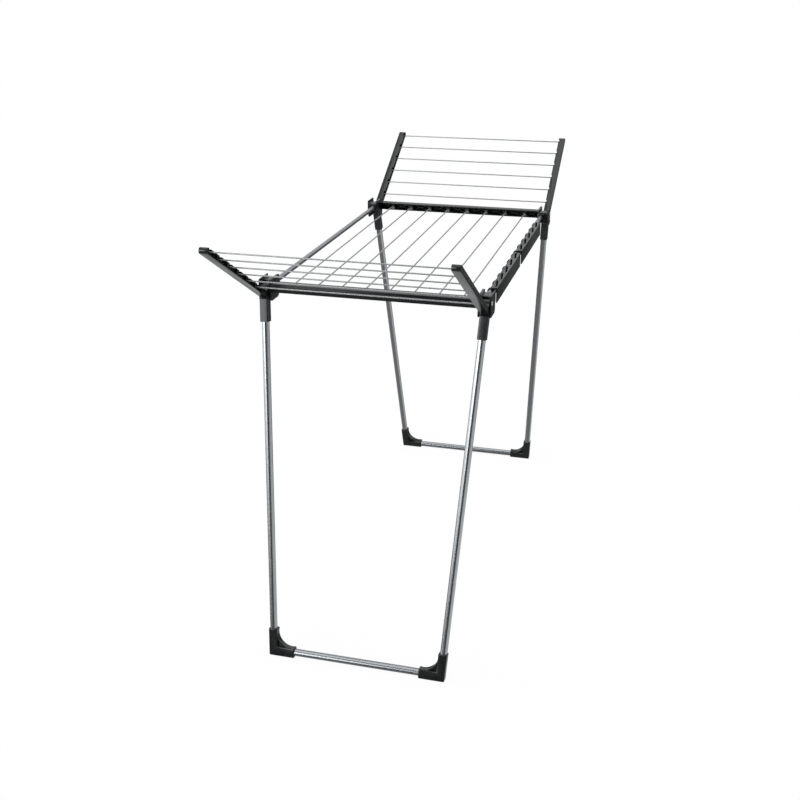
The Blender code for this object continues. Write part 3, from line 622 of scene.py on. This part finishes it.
def cross_rail():
    """A channel open towards the lines, with a bead, a rib at each line and crossed ribs between."""
    low, high = RAIL_LOW.z, RAIL_HIGH.z
    profile = [(RAIL_LOW.y, low), (WALL_Y, low)]
    profile += arc((WALL_Y, RAIL_BEAD_Z), RAIL_BEAD, -90, 90, 10)
    profile += [(WALL_Y, high - 0.001), (WALL_Y - 0.001, high), (RAIL_LOW.y, high)]
    rail = side_prism(profile, -RAIL_END, RAIL_END)
    hollow = box(
        (-RAIL_END + RAIL_WALL, RAIL_LOW.y - 0.01, low + RAIL_WALL),
        (RAIL_END - RAIL_WALL, WALL_Y - RAIL_WALL, high - RAIL_WALL),
    )
    rail = carved(rail, hollow)
    rib_low, rib_high = low + RAIL_WALL / 2, high - RAIL_WALL / 2
    centre_z, reach = (rib_low + rib_high) / 2, (rib_high - rib_low) / 2
    ribs = [
        box((x - 0.005, RAIL_LOW.y + 0.004, rib_low), (x + 0.005, WALL_Y - 0.001, rib_high))
        for x in LINE_X
    ]
    bays = [-RAIL_END, *LINE_X, RAIL_END]
    for left, right in zip(bays, bays[1:]):
        half = (right - left) / 2 - 0.002
        long = math.hypot(half, reach) - 0.001
        for turn in (1, -1):
            place = Matrix.Translation(((left + right) / 2, WALL_Y - 0.0110, centre_z))
            place = place @ Matrix.Rotation(-math.atan2(reach, half) * turn, 4, "Y")
            rib = box((-long, -RAIL_RIB_REACH, -RAIL_RIB_HALF), (long, RAIL_RIB_REACH, RAIL_RIB_HALF))
            rib.transform(place)
            ribs.append(rib)
    rail = fused(rail, *ribs)
    for side in (1, -1):
        tongue = box(
            (RAIL_END - 0.002, TONGUE_Y[0], low + TONGUE_INSET),
            (RAIL_HIGH.x, TONGUE_Y[1], high - TONGUE_INSET),
        )
        rail = fused(rail, mirrored(tongue, side, 1))
    seat_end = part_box("long_line_1")[1].y + HAIR
    rail = carved(rail, *[
        rod((x, RAIL_LOW.y - 0.01, LINE_Z), (x, seat_end, LINE_Z), LONG_LINE_RADIUS + HAIR, 16)
        for x in LINE_X
    ])
    return eased(rail, 0.0004)


def corner_block():
    """Two side walls with a channel for the wing arm between them, a collar round the side tube, the
    rail's socket, both pins' bores, a stop for each hinge and a sunk panel on the outside."""
    channel_low, channel_high = CHANNEL_X
    floor, top, bottom = CHANNEL_FLOOR, BLOCK_HIGH.z, BLOCK_LOW.z
    x_low, x_high = BLOCK_LOW.x, BLOCK_HIGH.x
    y_low, y_high, back = BLOCK_FRONT, BLOCK_HIGH.y, BLOCK_NECK
    ledge = RAIL_HIGH.z - 0.0120
    lower_back = arc((back + 0.0100, bottom + 0.0100), 0.0100, 270, 180, 8)
    lower = [(back, ledge), (y_high - 0.0002, ledge)]
    lower += arc((y_high - 0.0062, bottom + 0.0060), 0.0060, 0, -90, 8)
    lower += lower_back
    plate = [(y_low, BLOCK_PLATE_LOW), (y_low, top)]
    plate += arc((y_high - 0.0050, top - 0.0050), 0.0050, 90, 0, 8)
    plate += arc((y_high - 0.0060, bottom + 0.0060), 0.0060, 0, -90, 8)
    plate += lower_back
    plate.append((back, BLOCK_PLATE_TURN))
    wing_stop = in_wing([(-0.0775, 0.0068), (-0.0748, 0.0068), (-0.0748, 0.0100), (-0.0775, 0.0100)])
    leg_stop = [(0.4775, 0.9390), (0.4800, 0.9302), (0.4872, 0.9302), (0.4872, 0.9335), (0.4775, 0.9450)]
    collar = box((TUBE_X - 0.0096, BLOCK_LOW.y, 0.9408), (TUBE_X + 0.0100, y_low + 0.002, 0.9590))
    block = fused(
        box((x_low, y_low, 0.9405), (x_high - 0.001, 0.4815, floor)),
        side_prism(plate, channel_high, x_high),
        box((x_low, y_low, floor - 0.004), (channel_low, y_high, top)),
        box((x_low, 0.4775, RAIL_LOW.z), (channel_low, y_high, top - 0.004)),
        side_prism(lower, x_low, 0.2650),
        across(0.2630, 0.2677, LEG_PIVOT, 0.0062),
        collar,
        side_prism(wing_stop, channel_low - 0.003, channel_high + 0.001),
        side_prism(leg_stop, channel_low - 0.003, channel_high + 0.001),
    )
    panel_top = top - 0.0035
    panel = [(y_low + 0.004, 0.9470), (y_low + 0.004, panel_top), (0.4830, panel_top), (0.4830, 0.9470)]
    lower_panel = [(0.4575, 0.9215), (0.4575, 0.9405), (0.4860, 0.9405), (0.4860, 0.9215)]
    socket = box(
        (x_low - 0.02, TONGUE_Y[0] - HAIR, RAIL_LOW.z + 0.0047),
        (RAIL_HIGH.x + HAIR, TONGUE_Y[1] + HAIR, RAIL_HIGH.z - 0.0047),
    )
    sight = box(
        (x_low - 0.01, 0.4520, floor + SIGHT_DEPTH),
        (x_low + SIGHT_DEPTH, 0.4740, top - 0.0020),
    )
    seat_end = (TUBE_X, SIDE_TUBE_HIGH.y + HAIR, LINE_Z)
    seat = rod((TUBE_X, BLOCK_LOW.y - 0.01, LINE_Z), seat_end, SIDE_TUBE_SEAT)
    block = carved(
        block,
        seat,
        socket,
        across(0.2647, 0.31, WING_PIVOT, PIN_BORE, 24),
        across(0.2629, 0.31, LEG_PIVOT, PIN_BORE, 24),
        side_prism(rounded(panel, 0.002), x_high - PANEL_DEPTH, x_high + 0.01),
        side_prism(rounded(lower_panel, 0.004), x_high - PANEL_DEPTH, x_high + 0.01),
        sight,
    )
    return eased(block, 0.0005)


def pin(tip_x, pivot, steps=6):
    """A pin with a domed head on the outside and an eased tip."""
    length = PIN_HEAD_X + PIN_HEAD_RISE - tip_x
    shank = length - PIN_HEAD_RISE
    profile = [(0.0, length)]
    for step in range(1, steps + 1):
        angle = math.radians(90 * step / steps)
        profile.append((PIN_HEAD_RADIUS * math.sin(angle), shank + PIN_HEAD_RISE * math.cos(angle)))
    profile += [(PIN_SHANK, shank), (PIN_SHANK, PIN_TIP_EASE), (PIN_TIP, 0.0), (0.0, 0.0)]
    return turned(profile, 32, facing((tip_x, *pivot), (0.31, *pivot)))


# Pieces of the wings

def wing_arm():
    """A channel open towards the other arm, with a seat at each line, crossed ribs between the seats,
    a groove along its outside and an eye for its pin."""
    half, inner = ARM_HALF, ARM_HALF - ARM_WALL
    low, high = HINGE_X - ARM_WIDTH / 2, HINGE_X + ARM_WIDTH / 2
    eye = to_wing(WING_PIVOT)
    outline = [(ARM_ROOT, -half)]
    outline += arc((ARM_TIP - half, 0.0), half, -90, 90, 18)
    outline += [(-0.0610, half), (-0.0655, ARM_HEEL), (ARM_ROOT, ARM_HEEL)]
    arm = fused(
        side_prism(in_wing(outline), low, high),
        across(HINGE_X - EYE_WIDTH / 2, HINGE_X + EYE_WIDTH / 2, WING_PIVOT, EYE_RADIUS, 40),
        side_prism(in_wing([
            (ARM_ROOT + 0.0005, 0.009),
            (eye[0] + EYE_RADIUS * 1.2, 0.009),
            (eye[0] + EYE_RADIUS * 0.96, eye[1]),
            (eye[0] - EYE_RADIUS * 0.3, eye[1]),
            (ARM_ROOT + 0.0005, eye[1] - EYE_RADIUS),
        ]), low + 0.0004, high - 0.0004),
    )
    channel = [(ARM_CHANNEL_START, -inner)]
    channel += arc((ARM_TIP - half, 0.0), inner, -90, 90, 18)
    channel.append((ARM_CHANNEL_START, inner))
    arm = carved(
        arm,
        side_prism(in_wing(channel), low - 0.01, high - ARM_WALL),
        across(0.20, 0.31, WING_PIVOT, PIN_BORE, 24),
    )
    ribs = []
    for along in WING_PLACES:
        seat = [(along - 0.004, -half + 0.001), (along + 0.004, -half + 0.001)]
        seat += [(along + 0.004, half - 0.001), (along - 0.004, half - 0.001)]
        ribs.append(side_prism(in_wing(seat), low + 0.006, high - 0.001))
    for along in WING_PLACES[:-1]:
        for slope, face in ((1, 0.0090), (-1, 0.0094)):
            start, end = along + 0.003, along + WING_PITCH - 0.003
            rise = slope * (half - 0.0015)
            strip = [(start, -rise - RIB_HALF), (end, rise - RIB_HALF)]
            strip += [(end, rise + RIB_HALF), (start, -rise + RIB_HALF)]
            ribs.append(side_prism(in_wing(strip), low + face, high - face / 8))
    arm = fused(arm, *ribs)
    cuts = []
    hole_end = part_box("far_wing_line_1")[1].x + HAIR
    for along in WING_PLACES:
        notch = [(along - 0.005, inner - 0.001), (along + 0.005, inner - 0.001)]
        notch += [(along + 0.005, half + 0.005), (along - 0.005, half + 0.005)]
        cuts.append(side_prism(in_wing(notch), low - 0.01, low + 0.0045))
        cuts.append(across(low - 0.01, hole_end, wing_point(along, 0.0), WING_LINE_SEAT, 16))
    groove = [(-0.030, -ARM_GROOVE_HALF), (ARM_TIP - 0.020, -ARM_GROOVE_HALF)]
    groove += [(ARM_TIP - 0.020, ARM_GROOVE_HALF), (-0.030, ARM_GROOVE_HALF)]
    cuts.append(side_prism(in_wing(groove), high - 0.0005, high + 0.01))
    return eased(carved(arm, *cuts), 0.0005)


# Pieces of the leg frames

def squared(place):
    """The same place and direction, turned so that its X lies as near as it can to the airer's X."""
    z_axis = place.to_3x3() @ Vector((0.0, 0.0, 1.0))
    x_axis = Vector((1.0, 0.0, 0.0))
    x_axis = (x_axis - z_axis * x_axis.dot(z_axis)).normalized()
    turn = Matrix((x_axis, z_axis.cross(x_axis), z_axis)).transposed().to_4x4()
    return Matrix.Translation(place.to_translation()) @ turn


def leg_sleeve():
    """A square sleeve round the leg tube's top, with a neck and an eye for its pin."""
    place = squared(facing(leg_axis(LEG_SLANT), leg_axis(0.0)))
    width, depth = SLEEVE_WIDTH / 2, SLEEVE_DEPTH / 2
    square = [(-width, -depth), (width, -depth), (width, depth), (-width, depth)]
    section = rounded(square, SLEEVE_CORNER, 6)
    body = prism(
        section, SLEEVE_LENGTH - SLEEVE_START,
        place @ Matrix.Translation((0.0, 0.0, (SLEEVE_LENGTH + SLEEVE_START) / 2)),
    )
    neck = leg_section([
        (-depth + 0.001, -0.0100),
        (depth - 0.004, -0.0100),
        (depth - 0.005, -0.0050),
        (0.0, 0.0015),
    ])
    head_y = LEG_PIVOT[0] - SLEEVE_EYE
    neck += [(head_y + 0.0040, LEG_PIVOT[1] + 0.0075), (head_y, LEG_PIVOT[1] + 0.0075)]
    low, high = HINGE_X - width, HINGE_X + width
    sleeve = fused(
        body,
        side_prism(neck, low + 0.0006, high - 0.0006),
        across(low + 0.0003, high - 0.0003, LEG_PIVOT, SLEEVE_EYE),
    )
    seat_top = leg_axis(LEG_SLANT - TUBE_TOP_GAP + HAIR)
    seat_end = leg_axis(LEG_SLANT - SLEEVE_LENGTH - 0.02)
    sleeve = carved(
        sleeve,
        rod(seat_top, seat_end, LEG_TUBE_RADIUS + HAIR, 64),
        across(0.20, 0.32, LEG_PIVOT, PIN_BORE, 24),
    )
    return eased(sleeve, 0.0006)


def corner_foot():
    """Two sockets at right angles with a lip round each mouth, a concave web and its rim between
    them, and a flat sole."""
    outer, inner, depth, floor = FOOT_OUTER, FOOT_INNER, FOOT_DEPTH, FOOT_FLOOR
    top = FOOT_HEIGHT - outer
    corner = leg_x(-outer, outer)
    end = corner - FOOT_LENGTH

    def bar(points, thickness, ease, segments=4):
        return eased(prism(points, thickness, LEG_PLANE), ease, segments, 50)

    def upright(low, lip=0.0):
        return [
            (leg_x(low, outer), low), (leg_x(top, outer), top),
            (leg_x(top, -inner - lip), top), (leg_x(low, -inner - lip), low),
        ]

    level = [(end, floor), (corner - 0.0005, floor), (corner - 0.0005, inner), (end, inner)]
    lip_end, lip_low, lip_high = end + FOOT_BAND, floor + 0.002, inner + FOOT_LIP
    level_lip = [(end, lip_low), (lip_end, lip_low), (lip_end, lip_high), (end, lip_high)]
    radius = WEB_RADIUS
    centre = (leg_x(top - 0.010, -inner) - radius, inner + radius)
    curve = arc(centre, radius, 270, 360, 24)
    inner_corner = (leg_x(0.0, -inner) + 0.004, inner - 0.004)
    web = [(curve[0][0], inner_corner[1]), *curve, (inner_corner[0], curve[-1][1]), inner_corner]
    rim = curve + arc(centre, radius + WEB_RIM, 270, 360, 24)[::-1]
    foot = fused(
        bar(upright(floor), depth, 0.0030),
        bar(level, depth, 0.0030),
        prism(web, WEB_DEPTH, LEG_PLANE),
        bar(rim, WEB_RIM_DEPTH, 0.0008, 3),
        bar(upright(top - FOOT_BAND, FOOT_LIP), depth, 0.0028),
        bar(level_lip, depth, 0.0028),
    )
    foot = carved(
        foot,
        rod(leg_axis(SOCKET_FLOOR - HAIR), leg_axis(0.12), LEG_TUBE_RADIUS + HAIR, 64),
        rod((0.10, BAR_Y, BAR_Z), (BAR_HIGH.x + HAIR, BAR_Y, BAR_Z), LEG_TUBE_RADIUS + HAIR, 64),
        box((0.10, 0.60, -0.05), (0.30, 0.80, 0.0)),
    )
    return eased(foot, 0.0003, 1)


# Holders on the right side tube

def side_holder(name):
    """A flat deck with windows and small teeth, a fascia hanging from its outer edge, and clips round
    the tube."""
    low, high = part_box(name)
    start, end = low.y, high.y
    x, z = TUBE_X, LINE_Z
    deck_low, deck_high, deck_x = z + 0.0076, high.z, x - 0.0005
    fascia = (high.x - 0.0028, high.x)
    deck = [(fascia[1], start), (fascia[1], end), (deck_x, end)]
    edge = []
    for unit in range(HOLDER_TEETH):
        near = start + 0.0064 + HOLDER_PITCH / 2 * unit
        edge += [(deck_x, near), (deck_x - 0.0013, near + 0.0010), (deck_x, near + 0.0240)]
    deck += edge[::-1] + [(deck_x, start)]
    strip = fused(
        prism(deck, deck_high - deck_low, Matrix.Translation((0.0, 0.0, (deck_low + deck_high) / 2))),
        box((fascia[0], start, low.z), (fascia[1], end, deck_high - 0.0004)),
    )
    clips = []
    for unit in range(HOLDER_CLIPS):
        place = start + HOLDER_FIRST + HOLDER_PITCH * (unit - 0.5)
        place = min(max(place, start + 0.005), end - 0.005)
        clips.append(rod((x, place - 0.0025, z), (x, place + 0.0025, z), HOLDER_CLIP_RADIUS, 40))
        clips.append(box(
            (x + 0.003, place - 0.0022, z - 0.002),
            (fascia[0] + 0.001, place + 0.0022, deck_low + 0.001),
        ))
    strip = fused(strip, *clips)
    cuts = [
        rod((x, start - 0.01, z), (x, end + 0.01, z), SIDE_TUBE_SEAT, 48),
        box((x - 0.0120, start - 0.01, z - 0.02), (x + 0.0020, end + 0.01, z - 0.0060)),
        box(
            (fascia[1] - 0.0006, start - 0.01, low.z + 0.0040),
            (fascia[1] + 0.01, end + 0.01, low.z + 0.0052),
        ),
    ]
    for unit in range(HOLDER_WINDOWS):
        place = start + HOLDER_FIRST + HOLDER_PITCH * unit
        window, dish = [], []
        for (out, along, radius), turn in WINDOW_HALVES:
            window += arc((x + out, place + along), radius, turn, turn + 180, 14)
            dish += arc((x + out, place + along), radius + WINDOW_EASE, turn, turn + 180, 14)
        cuts.append(prism(window, 0.02, Matrix.Translation((0.0, 0.0, z + 0.010))))
        cuts.append(prism(dish, 0.01, Matrix.Translation((0.0, 0.0, deck_high + 0.0044))))
    return eased(carved(strip, *cuts), 0.0004)


# Building

def build_top_frame():
    body = "top_frame"
    rail = cross_rail()
    for end, side in ENDS:
        node = f"{end}_cross_rail"
        add_piece(f"{node}_look", mirrored(rail, 1, side), BLACK, body, node)
    for side, sign in SIDES:
        node = f"{side}_side_tube"
        ends = ((sign * TUBE_X, SIDE_TUBE_LOW.y, LINE_Z), (sign * TUBE_X, SIDE_TUBE_HIGH.y, LINE_Z))
        mesh = tube(*ends, SIDE_TUBE_RADIUS, SIDE_TUBE_WALL)
        add_piece(f"{node}_look", mesh, LONG_STEEL_PAINTED_SHADE, body, node)
    for place in range(1, LONG_LINES + 1):
        node = f"long_line_{place}"
        low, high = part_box(node)
        x = (low.x + high.x) / 2
        mesh = wire((x, low.y, LINE_Z), (x, high.y, LINE_Z), LONG_LINE_RADIUS)
        add_piece(f"{node}_look", mesh, LONG_COAT, body, node)
    for node in ("near_side_holder", "far_side_holder"):
        add_piece(f"{node}_look", side_holder(node), BLACK, body, node)
    block = corner_block()
    pins = (
        ("wing_pin", pin(WING_PIN_TIP_X, WING_PIVOT), RIVET, "rivet_steel"),
        ("leg_pin", pin(LEG_PIN_TIP_X, LEG_PIVOT), BLACK, "black_plastic"),
    )
    for end, side_y in ENDS:
        for side, side_x in SIDES:
            node = f"{end}_{side}_corner_block"
            add_piece(f"{node}_look", mirrored(block, side_x, side_y), BLACK, body, node)
            for kind, mesh, material, slot in pins:
                node = f"{end}_{side}_{kind}"
                add_piece(f"{node}_look", mirrored(mesh, side_x, side_y), material, body, node)


def build_wings():
    arm = wing_arm()
    for end, side_y in ENDS:
        body = f"{end}_wing"
        for side, side_x in SIDES:
            node = f"{end}_wing_{side}_arm"
            add_piece(f"{node}_look", mirrored(arm, side_x, side_y), BLACK, body, node)
        for place in range(1, LINES_PER_WING + 1):
            node = f"{end}_wing_line_{place}"
            low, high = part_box(node)
            y, z = (low.y + high.y) / 2, (low.z + high.z) / 2
            mesh = wire((low.x, y, z), (high.x, y, z), WING_LINE_RADIUS)
            add_piece(f"{node}_look", mesh, CROSS_COAT, body, node)


def build_legs():
    sleeve, foot = leg_sleeve(), corner_foot()
    tube_top = leg_axis(LEG_SLANT - TUBE_TOP_GAP)
    leg = tube(leg_axis(SOCKET_FLOOR), tube_top, LEG_TUBE_RADIUS, LEG_TUBE_WALL)
    bar = tube((-BAR_HIGH.x, BAR_Y, BAR_Z), (BAR_HIGH.x, BAR_Y, BAR_Z), LEG_TUBE_RADIUS, LEG_TUBE_WALL)
    kinds = (
        ("sleeve", sleeve, SLEEVE, "sleeve_plastic"),
        ("leg_tube", leg, UPRIGHT_STEEL_PAINTED_LIGHT, "tube_steel"),
        ("foot", foot, BLACK, "black_plastic"),
    )
    for end, side_y in ENDS:
        body = f"{end}_leg_frame"
        for side, side_x in SIDES:
            for kind, mesh, material, slot in kinds:
                node = f"{end}_{side}_{kind}"
                add_piece(f"{node}_look", mirrored(mesh, side_x, side_y), material, body, node)
        node = f"{end}_foot_bar"
        add_piece(f"{node}_look", mirrored(bar, 1, side_y), CROSS_STEEL, body, node)


# Studio

def add_camera():
    yaw, pitch, roll = CAMERA_YAW, CAMERA_PITCH, CAMERA_ROLL
    forward = Vector((-math.sin(yaw) * math.cos(pitch), math.cos(yaw) * math.cos(pitch), math.sin(pitch)))
    level = Vector((math.cos(yaw), math.sin(yaw), 0.0))
    upright = level.cross(forward)
    right = math.cos(roll) * level + math.sin(roll) * upright
    up = math.cos(roll) * upright - math.sin(roll) * level
    place = Matrix((right, up, -forward)).transposed().to_4x4()
    place.translation = Vector(CAMERA_PLACE)
    data = bpy.data.cameras.new("camera")
    data.sensor_width = SENSOR_WIDTH
    data.lens = CAMERA_LENS
    camera = bpy.data.objects.new("camera", data)
    camera.matrix_world = place
    bpy.context.scene.collection.objects.link(camera)
    bpy.context.scene.camera = camera


def math_node(nodes, links, operation, first, second=None):
    """A math node whose inputs are numbers or other nodes' outputs."""
    made = nodes.new("ShaderNodeMath")
    made.operation = operation
    for socket, value in zip(made.inputs, (first, second)):
        if value is None:
            continue
        if isinstance(value, (int, float)):
            socket.default_value = value
        else:
            links.new(value, socket)
    return made.outputs[0]


def add_world():
    """White to the camera. For light and reflections it is a dim room with soft panels, each of which
    takes up a patch of directions."""
    world = bpy.data.worlds.new("studio")
    world.use_nodes = True
    bpy.context.scene.world = world
    nodes, links = world.node_tree.nodes, world.node_tree.links
    nodes.clear()
    place = nodes.new("ShaderNodeTexCoord")
    split = nodes.new("ShaderNodeSeparateXYZ")
    links.new(place.outputs["Generated"], split.inputs[0])
    height = math_node(nodes, links, "ARCSINE", split.outputs["Z"])
    flat = math_node(nodes, links, "MULTIPLY", split.outputs["Z"], split.outputs["Z"])
    flat = math_node(nodes, links, "SQRT", math_node(nodes, links, "SUBTRACT", 1.0001, flat))

    def step(source, start, end):
        made = nodes.new("ShaderNodeMapRange")
        made.interpolation_type = "SMOOTHSTEP"
        made.inputs["From Min"].default_value = start
        made.inputs["From Max"].default_value = end
        links.new(source, made.inputs["Value"])
        return made.outputs["Result"]

    level = None
    for azimuth, half, low, high, soft, strength in PANELS:
        aim = math.radians(azimuth)
        dot = nodes.new("ShaderNodeVectorMath")
        dot.operation = "DOT_PRODUCT"
        dot.inputs[1].default_value = (math.sin(aim), -math.cos(aim), 0.0)
        links.new(place.outputs["Generated"], dot.inputs[0])
        turn = math_node(nodes, links, "DIVIDE", dot.outputs["Value"], flat)
        outer = math.cos(math.radians(half + soft))
        inner = math.cos(math.radians(max(half - soft, 0.0)))
        glow = step(turn, outer, inner)
        rise = step(height, math.radians(low - soft), math.radians(low + soft))
        fall = step(height, math.radians(high + soft), math.radians(high - soft))
        glow = math_node(nodes, links, "MULTIPLY", glow, rise)
        glow = math_node(nodes, links, "MULTIPLY", glow, fall)
        glow = math_node(nodes, links, "MULTIPLY", glow, strength)
        level = glow if level is None else math_node(nodes, links, "ADD", level, glow)
    start, full, strength = OVERHEAD
    overhead = step(height, math.radians(start), math.radians(full))
    overhead = math_node(nodes, links, "MULTIPLY", overhead, strength)
    level = math_node(nodes, links, "ADD", level, overhead)
    level = math_node(nodes, links, "ADD", level, ROOM_LEVEL)
    rays = nodes.new("ShaderNodeLightPath")
    studio = nodes.new("ShaderNodeBackground")
    studio.inputs["Color"].default_value = ROOM_COLOUR
    links.new(level, studio.inputs["Strength"])
    white = nodes.new("ShaderNodeBackground")
    white.inputs["Color"].default_value = WHITE
    white.inputs["Strength"].default_value = 1.0
    mix = nodes.new("ShaderNodeMixShader")
    out = nodes.new("ShaderNodeOutputWorld")
    links.new(rays.outputs["Is Camera Ray"], mix.inputs["Fac"])
    links.new(studio.outputs["Background"], mix.inputs[1])
    links.new(white.outputs["Background"], mix.inputs[2])
    links.new(mix.outputs["Shader"], out.inputs["Surface"])


def add_floor():
    """A pale floor: a white glow with a little real shading to the camera, and clear to every other
    ray, so that it neither lights the airer nor shows in its reflections."""
    shape = bmesh.new()
    bmesh.ops.create_circle(shape, cap_ends=True, segments=96, radius=FLOOR_RADIUS)
    mesh = bpy.data.meshes.new("floor")
    shape.to_mesh(mesh)
    shape.free()
    floor = bpy.data.objects.new("floor", mesh)
    bpy.context.scene.collection.objects.link(floor)
    made = bpy.data.materials.new("floor_paper")
    made.use_nodes = True
    nodes, links = made.node_tree.nodes, made.node_tree.links
    nodes.clear()
    glow = nodes.new("ShaderNodeEmission")
    glow.inputs["Color"].default_value = WHITE
    glow.inputs["Strength"].default_value = 1.0
    paper = nodes.new("ShaderNodeBsdfDiffuse")
    paper.inputs["Color"].default_value = FLOOR_COLOUR
    seen = nodes.new("ShaderNodeMixShader")
    seen.inputs["Fac"].default_value = FLOOR_SHADE
    links.new(glow.outputs["Emission"], seen.inputs[1])
    links.new(paper.outputs["BSDF"], seen.inputs[2])
    clear = nodes.new("ShaderNodeBsdfTransparent")
    rays = nodes.new("ShaderNodeLightPath")
    mix = nodes.new("ShaderNodeMixShader")
    out = nodes.new("ShaderNodeOutputMaterial")
    links.new(rays.outputs["Is Camera Ray"], mix.inputs["Fac"])
    links.new(clear.outputs["BSDF"], mix.inputs[1])
    links.new(seen.outputs["Shader"], mix.inputs[2])
    links.new(mix.outputs["Shader"], out.inputs["Surface"])
    mesh.materials.append(made)


# The airer in its studio

add_camera()
add_world()
add_floor()
build_top_frame()
build_wings()
build_legs()
bpy.data.collections.remove(WORK)
bpy.context.scene.view_settings.view_transform = "Standard"
